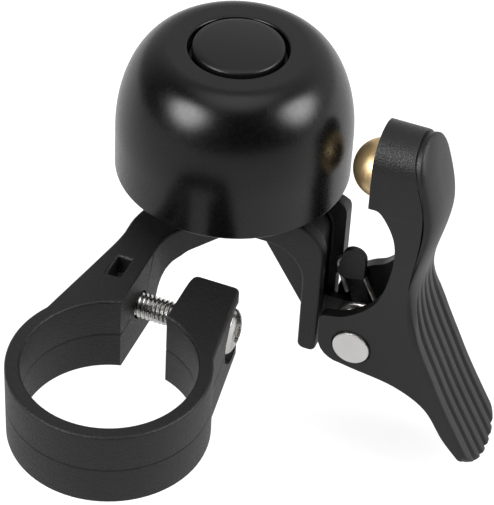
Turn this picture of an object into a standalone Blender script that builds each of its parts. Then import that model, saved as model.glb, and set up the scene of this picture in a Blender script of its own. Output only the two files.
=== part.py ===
"""Bicycle bell: a split clamp ring for the handlebar, an arm that carries a dome on a post,
and a sprung thumb lever whose brass striker hits the dome when the lever is let go.

Metres, +Z along the handlebar axis, origin at the middle of the clamp's bore, +Y from the bore
to the bell, +X along the clamp screw to its head. The thumb lever turns about an axis along Y.
"""

from math import asin, atan2, cos, hypot, pi, radians, sin

import bmesh
import bpy
from mathutils import Matrix, Vector

# Clamp ring and its screw
BORE_RADIUS = 0.0130
RING_WALL = 0.00224
RING_WIDTH = 0.0134
CLAMP_GAP = 0.0075
SCREW_SETBACK = 0.0069
LUG_TAIL = 0.0030
LUG_THICK = 0.0077
LUG_CORNER = 0.0010
ARM_WIDTH = 0.0073
SCREW_RADIUS = 0.0020
SCREW_HEAD_RADIUS = 0.0038
SCREW_HEAD_HEIGHT = 0.0022
SCREW_LENGTH = 0.0200
HEX_RADIUS = 0.00144
HEX_DEPTH = 0.0013
HEAD_SEAT_WALL = 0.0064
HEAD_POCKET_MARGIN = 0.0010
NUT_SIDE = 0.0070
NUT_THICK = 0.0022
NUT_INSET = 0.0025
NUT_WINDOW = 0.0044

# Arm, bridge under the bell and leg that carries the lever
ARM_STRAIGHT = 0.0066
ARM_BEND_RADIUS = 0.0080
ARM_BEND = radians(34)
BELL_REACH = 0.0253
BELL_SIDE = 0.0008
PLATE_THICK = 0.0053
RAMP_RADIUS = 0.0075
RAMP_START = 0.0056
LEG_REACH = 0.0177
LEG_THICK = 0.0031
LEG_DROP = 0.0202
ARCH_RADIUS = 0.0060
CORNER_RADIUS = 0.0053
CHANNEL_DEPTH = 0.0014
LEG_RIM = 0.0024
REAR_STEP = 0.0009
REAR_CORNER = 0.0022
REAR_DROP = 0.0140
GUSSET_REACH = 0.0095
GUSSET_DROP = 0.0155
GUSSET_SETBACK = 0.0033
GUSSET_THICK = 0.0040
POST_RADIUS = 0.0042
POST_TOP_RADIUS = 0.0036

# Bell dome and what holds it
BELL_RADIUS = 0.01857
SKIRT_HEIGHT = 0.0074
SHOULDER_WIDTH = 0.0080
SHOULDER_HEIGHT = 0.0152
DOME_WALL = 0.0014
RIM_CLEAR = 0.0042
RECESS_RADIUS = 0.00775
RECESS_DEPTH = 0.0042
CAP_RADIUS = 0.0071
CAP_FLANGE_HEIGHT = 0.0020
CAP_PROUD = 0.0004
CAP_CROWN = 0.0005
CAP_WALL = 0.0011
ISOLATOR_THICK = 0.0008
ISOLATOR_RADIUS = 0.0042
BELL_SCREW_RADIUS = 0.0020
BELL_SCREW_HEAD_RADIUS = 0.0036
BELL_SCREW_HEAD_HEIGHT = 0.0019
BELL_SCREW_LENGTH = 0.0140

# Thumb lever, measured from its pivot pin
LEVER_DEPTH = 0.0106
PIN_REACH = 0.0061
PIN_RISE = 0.0036
PIN_RADIUS = 0.0015
PIN_HEAD_RADIUS = 0.0031
PIN_HEAD_HEIGHT = 0.0010
PIN_HEAD_PROUD = 0.0004
RETAINER_HEIGHT = 0.0006
CHEEK_THICK = 0.0018
WEB_THICK = 0.0018
GRIP_THICK = 0.0018
PAD_THICK = 0.0009
TAB_REACH = 0.0057
TAB_DROP = 0.0042
TAB_TOP = 0.0051
TAB_ROUND = 0.0040
TAB_CORNER = 0.0010
HEAD_BOTTOM = 0.0294
HEAD_TOP = 0.0420
HEAD_TOP_X = 0.0082
CREST = (0.0115, 0.0283)
WAIST = (0.0096, 0.0126)
PAD_MIDDLE = (0.0153, -0.0027)
PAD_END = (0.0233, -0.0180)
UNDER_HEAD = [(0.0054, 0.0195), (0.0050, 0.0246), (0.0026, 0.0289)]
CUTOUT = [(-0.0015, 0.0061), (0.0022, 0.0092), (0.0042, 0.0130), *UNDER_HEAD]
REAR_CUTOUT = [(-0.0030, 0.0082), (-0.0006, 0.0102), (0.0019, 0.0116), (0.0043, 0.0148), *UNDER_HEAD]
BELLY = [(0.0202, -0.0181), (0.0168, -0.0142), (0.0132, -0.0088), (0.0077, -0.0058), (0.0005, -0.0046)]
GRIP_WIDTH = 0.0138
RIB_COUNT = 6
RIB_GROOVE = 0.0009
RIB_DEPTH = 0.0005
STRIKER_RADIUS = 0.0048
STRIKER_HEIGHT = 0.0336
STRIKER_SINK = 0.0004
STRIKER_SHANK_RADIUS = 0.0018
STRIKER_SHANK = 0.0042
STRIKE_GAP = 0.0013

# Ear of the leg that the lever turns on, with a stalk, a nub and a keeper for the spring's hook
EAR_THICK = 0.0013
EAR_RADIUS = 0.0039
BOSS_RADIUS = 0.0025
STALK_RADIUS = 0.0015
NUB_RADIUS = 0.0012
KEEPER_WIDTH = 0.0040
KEEPER_THICK = 0.0012
KEEPER_SIDE = 0.0012
KEEPER_RISE = 0.0047
KEEPER_DROP = 0.0007

# Return spring
WIRE = 0.0008
COIL_RADIUS = 0.0036
COIL_TURNS = 3
HOOK_LEG_ANGLE = radians(26.8)
WEB_LEG_ANGLE = radians(53)
HOOK_LEG = 0.0116
HOOK_RADIUS = 0.00175
HOOK_WRAP = radians(173)
HOOK_TAIL = 0.0053
WEB_LEG_TRIM = 0.0003

# Gaps between pieces
FIT = 0.00015
RUNNING = 0.00008
SIDE_PLAY = 0.0003
LEVER_PLAY = 0.0005
PAST = 0.0020

# Places worked out from the sizes above
half_gap = CLAMP_GAP / 2
ring_outer = BORE_RADIUS + RING_WALL
plate_top = RING_WIDTH / 2
plate_low = plate_top - PLATE_THICK
screw_y = BORE_RADIUS + SCREW_SETBACK
lug_back = screw_y + LUG_TAIL
arm_bend_y = screw_y + ARM_STRAIGHT
bell_y = screw_y + BELL_REACH
front_y = bell_y - LEVER_DEPTH / 2
rear_y = bell_y + LEVER_DEPTH / 2
leg_outer = BELL_SIDE + LEG_REACH
leg_inner = leg_outer - LEG_THICK
leg_low = plate_low - LEG_DROP
pin_x = leg_outer + PIN_REACH
pin_z = leg_low + PIN_RISE
rim_z = plate_top + RIM_CLEAR
dome_top = rim_z + SKIRT_HEIGHT + SHOULDER_HEIGHT
recess_floor = dome_top - RECESS_DEPTH
post_top = recess_floor - DOME_WALL - ISOLATOR_THICK - 2 * FIT
head_seat = half_gap + HEAD_SEAT_WALL
nut_x = -half_gap - NUT_INSET - NUT_THICK / 2
striker_x = BELL_SIDE + BELL_RADIUS + STRIKE_GAP + STRIKER_RADIUS
striker_z = pin_z + STRIKER_HEIGHT
head_face = striker_x - STRIKER_SINK
ear_back = rear_y - CHEEK_THICK - LEVER_PLAY
ear_front = ear_back - EAR_THICK
keeper_back = ear_front - WIRE - 2 * FIT
keeper_front = keeper_back - KEEPER_THICK
channel_front = front_y + LEG_RIM
channel_back = rear_y - LEG_RIM


def arc(centre, radius, start, end, steps):
    """Points along an arc, from angle start to angle end, both included."""
    turn = (end - start) / steps
    angles = [start + turn * i for i in range(steps + 1)]
    return [(centre[0] + radius * cos(a), centre[1] + radius * sin(a)) for a in angles]


def smooth(points, steps):
    """A smooth curve through the points, as a list with steps points for each stretch."""
    first = tuple(2 * a - b for a, b in zip(points[0], points[1]))
    last = tuple(2 * a - b for a, b in zip(points[-1], points[-2]))
    chain = [first, *points, last]
    curve = []
    for p0, p1, p2, p3 in zip(chain, chain[1:], chain[2:], chain[3:]):
        for i in range(steps):
            t = i / steps
            weights = (
                (2 * t**2 - t**3 - t) / 2,
                (3 * t**3 - 5 * t**2 + 2) / 2,
                (4 * t**2 - 3 * t**3 + t) / 2,
                (t**3 - t**2) / 2,
            )
            near = zip(p0, p1, p2, p3)
            curve.append(tuple(sum(w * c for w, c in zip(weights, group)) for group in near))
    return curve + [points[-1]]


def shifted(curve, distance):
    """The curve moved sideways to its right by distance, or by a distance for each point."""
    distances = distance if isinstance(distance, list) else [distance] * len(curve)
    moved = []
    for i, (x, z) in enumerate(curve):
        before, after = curve[max(i - 1, 0)], curve[min(i + 1, len(curve) - 1)]
        dx, dz = after[0] - before[0], after[1] - before[1]
        length = hypot(dx, dz)
        moved.append((x + dz / length * distances[i], z - dx / length * distances[i]))
    return moved


def from_pin(point):
    return (pin_x + point[0], pin_z + point[1])


def finish(name, bm, helper=False):
    """Turns a bmesh into a named object with its faces pointing out."""
    bmesh.ops.remove_doubles(bm, verts=bm.verts, dist=1e-7)
    bmesh.ops.recalc_face_normals(bm, faces=bm.faces)
    mesh = bpy.data.meshes.new(name)
    bm.to_mesh(mesh)
    bm.free()
    obj = bpy.data.objects.new(name, mesh)
    bpy.context.scene.collection.objects.link(obj)
    if helper:
        obj.hide_render = True
        obj.display_type = "WIRE"
    return obj


def prism(name, outline, axis, low, high, helper=True):
    """A closed outline carried along an axis: X takes (y, z) points, Y (x, z) and Z (x, y)."""
    place = {
        "X": lambda a, b: (low, a, b),
        "Y": lambda a, b: (a, low, b),
        "Z": lambda a, b: (a, b, low),
    }[axis]
    bm = bmesh.new()
    face = bm.faces.new([bm.verts.new(place(*point)) for point in outline])
    grown = bmesh.ops.extrude_face_region(bm, geom=[face])
    along = Vector([high - low if letter == axis else 0 for letter in "XYZ"])
    tops = [item for item in grown["geom"] if isinstance(item, bmesh.types.BMVert)]
    bmesh.ops.translate(bm, verts=tops, vec=along)
    return finish(name, bm, helper)


def turned(name, outline, centre, axis="Z", sides=48, helper=False):
    """A closed outline of (radius, height) points turned round an axis through centre."""
    bm = bmesh.new()
    ring = [bm.verts.new((radius, 0, height)) for radius, height in outline]
    edges = [bm.edges.new(pair) for pair in zip(ring, ring[1:] + ring[:1])]
    bmesh.ops.spin(
        bm, geom=ring + edges, cent=(0, 0, 0), axis=(0, 0, 1), angle=2 * pi, steps=sides, use_merge=True
    )
    on_axis = [v for v in bm.verts if hypot(v.co.x, v.co.y) < 1e-7]
    bmesh.ops.remove_doubles(bm, verts=on_axis, dist=1e-6)
    bmesh.ops.dissolve_degenerate(bm, edges=bm.edges, dist=1e-7)
    turn = {"Z": Matrix(), "X": Matrix.Rotation(pi / 2, 4, "Y"), "Y": Matrix.Rotation(-pi / 2, 4, "X")}[axis]
    bmesh.ops.transform(bm, matrix=Matrix.Translation(centre) @ turn, verts=bm.verts)
    obj = finish(name, bm, helper)
    obj.data.shade_smooth()
    obj.data.set_sharp_from_angle(angle=radians(35))
    return obj


def rod(name, radius, centre, axis, length, sides=32):
    """A round cutter that starts at centre and runs along an axis."""
    outline = [(0, 0), (radius, 0), (radius, length), (0, length)]
    return turned(name, outline, centre, axis, sides, helper=True)


def combine(target, operation, tools):
    """One Boolean of the target with all the tools, which are kept in a collection of their own."""
    scene = bpy.context.scene.collection
    group = bpy.data.collections.new(f"{target.name} {operation.lower()}")
    scene.children.link(group)
    for tool in tools:
        scene.objects.unlink(tool)
        group.objects.link(tool)
    modifier = target.modifiers.new(group.name, "BOOLEAN")
    modifier.operation = operation
    modifier.operand_type = "COLLECTION"
    modifier.collection = group
    modifier.solver = "EXACT"


def join(target, *tools):
    combine(target, "UNION", tools)


def cut(target, *tools):
    combine(target, "DIFFERENCE", tools)


def keep(target, *tools):
    combine(target, "INTERSECT", tools)


def paint(obj, colour, roughness, metallic=0.0):
    material = bpy.data.materials.new(f"{obj.name} finish")
    material.use_nodes = True
    shader = material.node_tree.nodes["Principled BSDF"]
    shader.inputs["Base Color"].default_value = (*colour, 1)
    shader.inputs["Roughness"].default_value = roughness
    shader.inputs["Metallic"].default_value = metallic
    obj.data.materials.append(material)


def pivot_at(obj, point):
    """Moves the object's origin to a point and leaves its shape where it is."""
    obj.data.transform(Matrix.Translation(-Vector(point)))
    obj.location = point


NYLON = (0.018, 0.018, 0.019)
STEEL = (0.62, 0.61, 0.60)


def bracket_plan():
    """Plan outline of the ring, its right lug, the arm, the plate under the bell and the leg."""
    tangent = radians(28)
    lug_side = half_gap + LUG_THICK
    right_lug = [
        *arc((lug_side - LUG_CORNER, lug_back - LUG_CORNER), LUG_CORNER, 0, pi / 2, 4),
        *arc((half_gap + LUG_CORNER, lug_back - LUG_CORNER), LUG_CORNER, pi / 2, pi, 4),
        (half_gap, ring_outer),
    ]
    bend = (-half_gap + ARM_BEND_RADIUS, arm_bend_y)
    inner_bend = arc(bend, ARM_BEND_RADIUS, pi, pi - ARM_BEND, 6)
    bend_x, bend_y = inner_bend[-1]
    meets_front = (bend_x + (front_y - bend_y) * sin(ARM_BEND) / cos(ARM_BEND), front_y)
    outer_x = -half_gap - ARM_WIDTH
    outer_side = [
        (-ring_outer * cos(tangent), ring_outer * sin(tangent)),
        (outer_x, screw_y),
        (outer_x + ARM_WIDTH * 0.15, arm_bend_y),
        (bend_x - ARM_WIDTH, bend_y + ARM_WIDTH * 0.2),
        (BELL_SIDE - ARM_WIDTH, bell_y - ARM_WIDTH * 0.4),
        (BELL_SIDE, rear_y),
    ]
    return [
        *right_lug,
        (-half_gap, ring_outer),
        *inner_bend,
        meets_front,
        (leg_outer, front_y),
        (leg_outer, channel_back),
        (leg_outer + REAR_STEP, channel_back),
        (leg_outer + REAR_STEP, rear_y),
        *reversed(smooth(outer_side, 5)[1:]),
        *arc((0, 0), ring_outer, pi - tangent, 2 * pi + tangent, 60),
    ]


def make_bracket():
    bracket = prism("bracket", bracket_plan(), "Z", leg_low, plate_top, False)
    below, beyond = leg_low - PAST, leg_outer + 8 * PAST
    ramp = [
        (-ring_outer - PAST, below),
        (-ring_outer - PAST, -plate_top),
        (screw_y + RAMP_START, -plate_top),
        (screw_y + RAMP_START, plate_low - RAMP_RADIUS),
        *arc((screw_y + RAMP_START + RAMP_RADIUS, plate_low - RAMP_RADIUS), RAMP_RADIUS, pi, pi / 2, 8)[1:],
        (front_y - PAST / 4, plate_low),
        (front_y - PAST / 4, below),
    ]
    arch_centre = (leg_inner - ARCH_RADIUS, plate_low - ARCH_RADIUS)
    arch = [
        (-ring_outer - PAST, plate_low),
        *arc(arch_centre, ARCH_RADIUS, pi / 2, 0, 8),
        (leg_inner, below),
        (-ring_outer - PAST, below),
    ]
    shoulder = (leg_outer - CORNER_RADIUS, plate_top - CORNER_RADIUS)
    corner = [
        *arc(shoulder, CORNER_RADIUS, pi / 2, 0, 8),
        (beyond, shoulder[1]),
        (beyond, plate_top + PAST),
        (shoulder[0], plate_top + PAST),
    ]
    rear_side = leg_outer + REAR_STEP
    step_low = plate_top - REAR_DROP
    rear_corner = [
        *arc((rear_side - REAR_CORNER, plate_top - REAR_CORNER), REAR_CORNER, pi / 2, 0, 6),
        (rear_side, step_low),
        (leg_outer, step_low - REAR_STEP),
        (leg_outer, below),
        (beyond, below),
        (beyond, plate_top + PAST),
        (rear_side - REAR_CORNER, plate_top + PAST),
    ]
    channel = [
        *arc(shoulder, CORNER_RADIUS - CHANNEL_DEPTH, pi / 2, 0, 8),
        (leg_outer - CHANNEL_DEPTH, below),
        (beyond, below),
        (beyond, plate_top + PAST),
        (shoulder[0], plate_top + PAST),
    ]
    left, right = -ring_outer - PAST, leg_outer + PAST
    cut(
        bracket,
        prism("ramp under the arm", ramp, "X", left, right),
        prism("arch under the bell", arch, "Y", front_y - PAST / 2, rear_y + PAST),
        prism("outer corner", corner, "Y", front_y - PAST, channel_front + LEG_RIM / 2),
        prism("rear corner", rear_corner, "Y", channel_back - LEG_RIM / 2, rear_y + PAST),
        prism("leg channel", channel, "Y", channel_front, channel_back),
    )
    gusset_root = leg_inner + LEG_THICK / 4
    gusset = [
        (leg_inner - GUSSET_REACH, plate_low),
        (leg_inner - GUSSET_REACH, plate_low + PLATE_THICK / 4),
        (gusset_root, plate_low + PLATE_THICK / 4),
        (gusset_root, plate_low - GUSSET_DROP),
        (leg_inner, plate_low - GUSSET_DROP),
    ]
    gusset_front = front_y + GUSSET_SETBACK
    rib = prism("gusset", gusset, "Y", gusset_front, gusset_front + GUSSET_THICK)

    sunk = PLATE_THICK / 2
    post = [(0, -sunk), (POST_RADIUS, -sunk), (POST_RADIUS, 0), (POST_TOP_RADIUS, post_top - plate_top)]
    post.append((0, post_top - plate_top))
    join(bracket, rib, turned("post", post, (BELL_SIDE, bell_y, plate_top), helper=True), *make_ear())

    deep = RING_WIDTH + 2 * PAST
    bore = rod("bore", BORE_RADIUS, (0, 0, -deep / 2), "Z", deep, 96)
    gap = [(-half_gap, 0), (half_gap, 0), (half_gap, lug_back + PAST), (-half_gap, lug_back + PAST)]
    hole = SCREW_RADIUS + 2 * FIT
    tip = head_seat - SCREW_LENGTH - SCREW_RADIUS / 2
    pocket = SCREW_HEAD_RADIUS + HEAD_POCKET_MARGIN
    nut = NUT_SIDE / 2 + FIT
    nut_slot = [
        (screw_y - nut, -plate_top - PAST),
        (screw_y + nut, -plate_top - PAST),
        (screw_y + nut, nut),
        (screw_y - nut, nut),
    ]
    window = [
        (screw_y - NUT_WINDOW / 2, 0),
        (screw_y + NUT_WINDOW / 2, 0),
        (screw_y + NUT_WINDOW / 2, plate_top + PAST),
        (screw_y - NUT_WINDOW / 2, plate_top + PAST),
    ]
    nut_low = nut_x - NUT_THICK / 2 - FIT
    pilot = BELL_SCREW_LENGTH + BELL_SCREW_RADIUS
    cut(
        bracket,
        bore,
        prism("clamp gap", gap, "Z", -deep / 2, deep / 2),
        prism("nut slot", nut_slot, "X", nut_low, nut_low + NUT_THICK + 2 * FIT),
        prism("nut window", window, "X", nut_low + FIT, nut_low + NUT_THICK + FIT),
        rod("screw hole", hole, (tip, screw_y, 0), "X", head_seat - tip + PAST),
        rod("head pocket", pocket, (head_seat, screw_y, 0), "X", LUG_THICK + PAST),
        rod("post hole", BELL_SCREW_RADIUS + FIT, (BELL_SIDE, bell_y, post_top - pilot), "Z", pilot + PAST),
        rod("pin hole", PIN_RADIUS + RUNNING, (pin_x, front_y, pin_z), "Y", LEVER_DEPTH),
    )
    paint(bracket, NYLON, 0.55)
    return bracket


def hook_centre():
    """Centre of the spring's hook, beside the leg that rises from the coil."""
    start = (pin_x + COIL_RADIUS * cos(HOOK_LEG_ANGLE), pin_z + COIL_RADIUS * sin(HOOK_LEG_ANGLE))
    along = (-sin(HOOK_LEG_ANGLE), cos(HOOK_LEG_ANGLE))
    top = (start[0] + HOOK_LEG * along[0], start[1] + HOOK_LEG * along[1])
    return (top[0] - HOOK_RADIUS * along[1], top[1] + HOOK_RADIUS * along[0])


def make_ear():
    """Ear from the leg to the pin with a stalk up to the hook, its boss, and the nub and keeper in front."""
    root = leg_outer - CHANNEL_DEPTH - LEG_THICK / 4
    hook = hook_centre()
    lean = atan2(hook[1] - pin_z, hook[0] - pin_x)
    foot = asin(STALK_RADIUS / EAR_RADIUS)
    ear = [
        (root, pin_z - EAR_RADIUS * 0.7),
        *arc((pin_x, pin_z), EAR_RADIUS, -pi * 0.75, lean - foot, 14),
        *arc(hook, STALK_RADIUS, lean - pi / 2, lean + pi / 2, 8),
        (pin_x + EAR_RADIUS * cos(lean + foot), pin_z + EAR_RADIUS * sin(lean + foot)),
        (root, pin_z + EAR_RADIUS * 0.7),
    ]
    half = KEEPER_WIDTH / 2
    keeper_x = hook[0] + KEEPER_SIDE
    keeper = [
        *arc(hook, NUB_RADIUS + FIT, pi, pi * 1.6, 6),
        (keeper_x + half, hook[1] - KEEPER_DROP),
        *arc((keeper_x, hook[1] + KEEPER_RISE - half), half, 0, pi, 10),
    ]
    inside_front = front_y + CHEEK_THICK + SIDE_PLAY
    inside_depth = LEVER_DEPTH - 2 * CHEEK_THICK - 2 * SIDE_PLAY
    nub_front = keeper_front + KEEPER_THICK / 2
    nub_length = ear_front + EAR_THICK / 2 - nub_front
    return (
        prism("ear", ear, "Y", ear_front, ear_back),
        rod("boss", BOSS_RADIUS, (pin_x, inside_front, pin_z), "Y", inside_depth),
        rod("nub", NUB_RADIUS, (hook[0], nub_front, hook[1]), "Y", nub_length, 16),
        prism("keeper", keeper, "Y", keeper_front, keeper_back),
    )


def make_clamp_fasteners():
    """Button-head socket screw and the square nut that the arm holds."""
    dome = arc((0, 0), 1, 0, pi / 2, 5)
    head = [(SCREW_HEAD_RADIUS * c, SCREW_HEAD_HEIGHT * (0.25 + 0.75 * s)) for c, s in dome]
    seat = FIT
    outline = [(0, -SCREW_LENGTH), (SCREW_RADIUS * 0.8, -SCREW_LENGTH)]
    outline += [(SCREW_RADIUS, -SCREW_LENGTH + SCREW_RADIUS * 0.3), (SCREW_RADIUS, seat)]
    outline += [(SCREW_HEAD_RADIUS, seat)] + [(radius, height + seat) for radius, height in head]
    screw = turned("clamp_screw", outline, (head_seat, screw_y, 0), "X", 32)
    socket = arc((screw_y, 0), HEX_RADIUS, 0, 2 * pi - pi / 3, 5)
    top = head_seat + seat + SCREW_HEAD_HEIGHT
    cut(screw, prism("hex socket", socket, "X", top - HEX_DEPTH, top + PAST))
    pivot_at(screw, (head_seat, screw_y, 0))
    paint(screw, STEEL, 0.25, 1)

    half = NUT_SIDE / 2
    corners = [(-half, -half), (half, -half), (half, half), (-half, half)]
    square = [(screw_y + y, z) for y, z in corners]
    nut = prism("clamp_nut", square, "X", nut_x - NUT_THICK / 2, nut_x + NUT_THICK / 2, False)
    cut(nut, rod("nut thread", SCREW_RADIUS + RUNNING, (nut_x - PAST, screw_y, 0), "X", 2 * PAST))
    paint(nut, STEEL, 0.35, 1)


def make_bell():
    """Dome with a dimpled seat on top, its screw between two isolators, and the cap over it."""
    shoulder = arc((0, 0), 1, 0, pi / 2, 14)
    outer = [
        (BELL_RADIUS - SHOULDER_WIDTH * (1 - c), SKIRT_HEIGHT + SHOULDER_HEIGHT * s) for c, s in shoulder
    ]
    height = dome_top - rim_z
    floor = height - RECESS_DEPTH
    hole = BELL_SCREW_RADIUS + 2 * FIT
    inside_radius = BELL_RADIUS - DOME_WALL
    dimple = RECESS_RADIUS + DOME_WALL
    inner = [
        (inside_radius - SHOULDER_WIDTH * (1 - c), SKIRT_HEIGHT + (SHOULDER_HEIGHT - DOME_WALL) * s)
        for c, s in shoulder
    ]
    inner = [(max(radius, dimple), level) for radius, level in inner]
    outline = [(inside_radius, 0), (BELL_RADIUS, 0), *outer, (RECESS_RADIUS, height), (RECESS_RADIUS, floor)]
    outline += [(hole, floor), (hole, floor - DOME_WALL), (dimple, floor - DOME_WALL), *reversed(inner)]
    dome = turned("bell_dome", outline, (BELL_SIDE, bell_y, rim_z), sides=64)
    paint(dome, (0.014, 0.014, 0.015), 0.32, 0.6)

    flange = RECESS_RADIUS - FIT
    top = RECESS_DEPTH + CAP_PROUD
    inside = CAP_RADIUS - CAP_WALL
    cap_outline = [(inside, FIT), (flange, FIT), (flange, CAP_FLANGE_HEIGHT), (CAP_RADIUS, CAP_FLANGE_HEIGHT)]
    cap_outline += [(CAP_RADIUS, top - CAP_CROWN), (CAP_RADIUS - CAP_CROWN, top), (0, top + CAP_CROWN)]
    cap_outline += [(0, top - CAP_WALL), (inside, top - CAP_WALL)]
    cap = turned("bell_cap", cap_outline, (BELL_SIDE, bell_y, recess_floor))
    paint(cap, (0.016, 0.016, 0.017), 0.4)

    bore = BELL_SCREW_RADIUS + FIT
    washer = [(bore, 0), (ISOLATOR_RADIUS, 0), (ISOLATOR_RADIUS, ISOLATOR_THICK), (bore, ISOLATOR_THICK)]
    for name, level in (("upper_isolator", recess_floor + FIT), ("lower_isolator", post_top + FIT)):
        isolator = turned(name, washer, (BELL_SIDE, bell_y, level), sides=32)
        paint(isolator, (0.03, 0.03, 0.03), 0.8)

    seat = recess_floor + ISOLATOR_THICK + 2 * FIT
    reach = BELL_SCREW_LENGTH
    head = BELL_SCREW_HEAD_HEIGHT
    outline = [(0, -reach), (BELL_SCREW_RADIUS, -reach + BELL_SCREW_RADIUS), (BELL_SCREW_RADIUS, 0)]
    outline += [(BELL_SCREW_HEAD_RADIUS, 0), (BELL_SCREW_HEAD_RADIUS, head * 0.6)]
    outline += [(BELL_SCREW_HEAD_RADIUS * 0.7, head), (0, head)]
    screw = turned("bell_screw", outline, (BELL_SIDE, bell_y, seat), sides=32)
    slot = [(-SCREW_HEAD_RADIUS, 0.0004), (SCREW_HEAD_RADIUS, 0.0004)]
    slot = [(x + BELL_SIDE, y * side + bell_y) for side in (-1, 1) for x, y in slot[::side]]
    cut(screw, prism("driver slot", slot, "Z", seat + head * 0.45, seat + head + PAST))
    paint(screw, STEEL, 0.3, 1)


def grip_curve():
    """The lever's outer side, from the top of the head to the end of the thumb pad."""
    shape = [(HEAD_TOP_X, HEAD_TOP), CREST, WAIST, PAD_MIDDLE, PAD_END]
    return smooth([from_pin(point) for point in shape], 10)


def grip_depths(more=0.0):
    """Depth of the grip strip at each point of its curve, full at the head and thin from the waist down,
    with more added to each."""
    crest, waist = pin_z + CREST[1], pin_z + WAIST[1]
    shares = [min(max((z - waist) / (crest - waist), 0.0), 1.0) for _, z in grip_curve()]
    return [PAD_THICK + (GRIP_THICK - PAD_THICK) * share**2 * (3 - 2 * share) + more for share in shares]


def head_outline():
    """(y, z) outline of a lever with a round top, as wide as its cheeks."""
    half = LEVER_DEPTH / 2
    centre = (bell_y, pin_z + HEAD_TOP - half)
    low = pin_z + PAD_END[1] - 4 * PAST
    return [(bell_y + half, low), *arc(centre, half, 0, pi, 20), (bell_y - half, low)]


def make_lever():
    outer = shifted(grip_curve(), grip_depths(FIT))
    web = shifted(grip_curve(), grip_depths(FIT + WEB_THICK))
    top = pin_z + HEAD_TOP + PAST / 2
    head_low = pin_z + HEAD_BOTTOM
    tab_left, tab_top, tab_low = pin_x - TAB_REACH, pin_z + TAB_TOP, pin_z - TAB_DROP
    shared = [
        *outer[1:-1],
        *smooth([*map(from_pin, BELLY), (tab_left + TAB_ROUND, tab_low)], 6),
        *arc((tab_left + TAB_ROUND, tab_low + TAB_ROUND), TAB_ROUND, -pi / 2, -pi, 6)[1:],
        *arc((tab_left + TAB_CORNER, tab_top - TAB_CORNER), TAB_CORNER, pi, pi / 2, 4),
    ]
    head = [(head_face, head_low), (head_face, top), (outer[0][0], top)]
    tab_end = (tab_left + TAB_CORNER, tab_top)
    rear_edge = smooth([tab_end, *map(from_pin, REAR_CUTOUT), (head_face, head_low)], 5)
    front_edge = smooth([tab_end, *map(from_pin, CUTOUT), (head_face, head_low)], 5)
    lever = prism("lever_body", head + shared + rear_edge[1:-1], "Y", front_y, rear_y, False)
    opening = [*front_edge, (tab_left, head_low), (tab_left, (head_low + tab_top) / 2)]
    inside = [
        (leg_inner, head_low - WEB_THICK),
        *[point for point in web if point[1] < head_low - WEB_THICK],
        (web[-1][0], web[-1][1] - 4 * PAST),
        (leg_inner, web[-1][1] - 4 * PAST),
    ]
    stadium = prism("round head", head_outline(), "X", leg_inner - PAST, pin_x + PAD_END[0] + PAST)
    keep(lever, stadium)
    head_recess = PIN_HEAD_HEIGHT - PIN_HEAD_PROUD
    recess = PIN_HEAD_RADIUS + 2 * FIT
    pin_start = (pin_x, front_y - PAST, pin_z)
    cut(
        lever,
        prism("lever hollow", inside, "Y", front_y + CHEEK_THICK, rear_y - CHEEK_THICK),
        prism("front opening", opening, "Y", front_y - PAST, bell_y),
        rod("lever pin hole", PIN_RADIUS + RUNNING, pin_start, "Y", LEVER_DEPTH + 2 * PAST),
        rod("pin head recess", recess, pin_start, "Y", PAST + head_recess),
        rod("retainer recess", recess, (pin_x, rear_y - RETAINER_HEIGHT - FIT, pin_z), "Y", PAST),
        rod(
            "striker socket",
            STRIKER_SHANK_RADIUS + FIT,
            (head_face - PAST, bell_y, striker_z),
            "X",
            STRIKER_SHANK + PAST + FIT,
        ),
    )
    pivot_at(lever, (pin_x, bell_y, pin_z))
    paint(lever, (0.028, 0.028, 0.03), 0.5)


def grip_side():
    """(half width, z) points down one side of the grip strip: narrow waist, then the wide pad."""
    half, wide = LEVER_DEPTH / 2, GRIP_WIDTH / 2
    waist, pad = pin_z + WAIST[1], pin_z + PAD_MIDDLE[1]
    side = [
        (half, pin_z + CREST[1]),
        (half, waist + (waist - pad) * 0.15),
        ((half + wide) / 2, waist + (pad - waist) * 0.2),
        (wide, (waist + pad) / 2),
        (wide, pin_z + PAD_END[1] + wide * 0.5),
    ]
    return smooth(side, 5)


def grip_outline():
    """(y, z) outline of the grip strip: round top, narrow waist, wide pad with a round end."""
    half, wide = LEVER_DEPTH / 2, GRIP_WIDTH / 2
    end = pin_z + PAD_END[1]
    turns = [-pi / 2 * i / 8 for i in range(1, 9)]
    end_round = [(wide * cos(a), end + wide / 2 * (1 + sin(a))) for a in turns]
    right = [(bell_y + y, z) for y, z in grip_side() + end_round]
    left = [(2 * bell_y - y, z) for y, z in reversed(right[:-1])]
    crown = arc((bell_y, pin_z + HEAD_TOP - half), half, pi, 0, 20)
    return right + left + crown


def fan_out(groove):
    """Draws a groove in towards the middle wherever the strip is narrower than its pad."""
    side = grip_side()
    for vertex in groove.data.vertices:
        level = vertex.co.z
        share = 1.0
        for (w0, z0), (w1, z1) in zip(side, side[1:]):
            if z1 <= level <= z0:
                share = (w0 + (w1 - w0) * (z0 - level) / (z0 - z1)) / (GRIP_WIDTH / 2)
        vertex.co.y = bell_y + (vertex.co.y - bell_y) * share
    return groove


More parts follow.
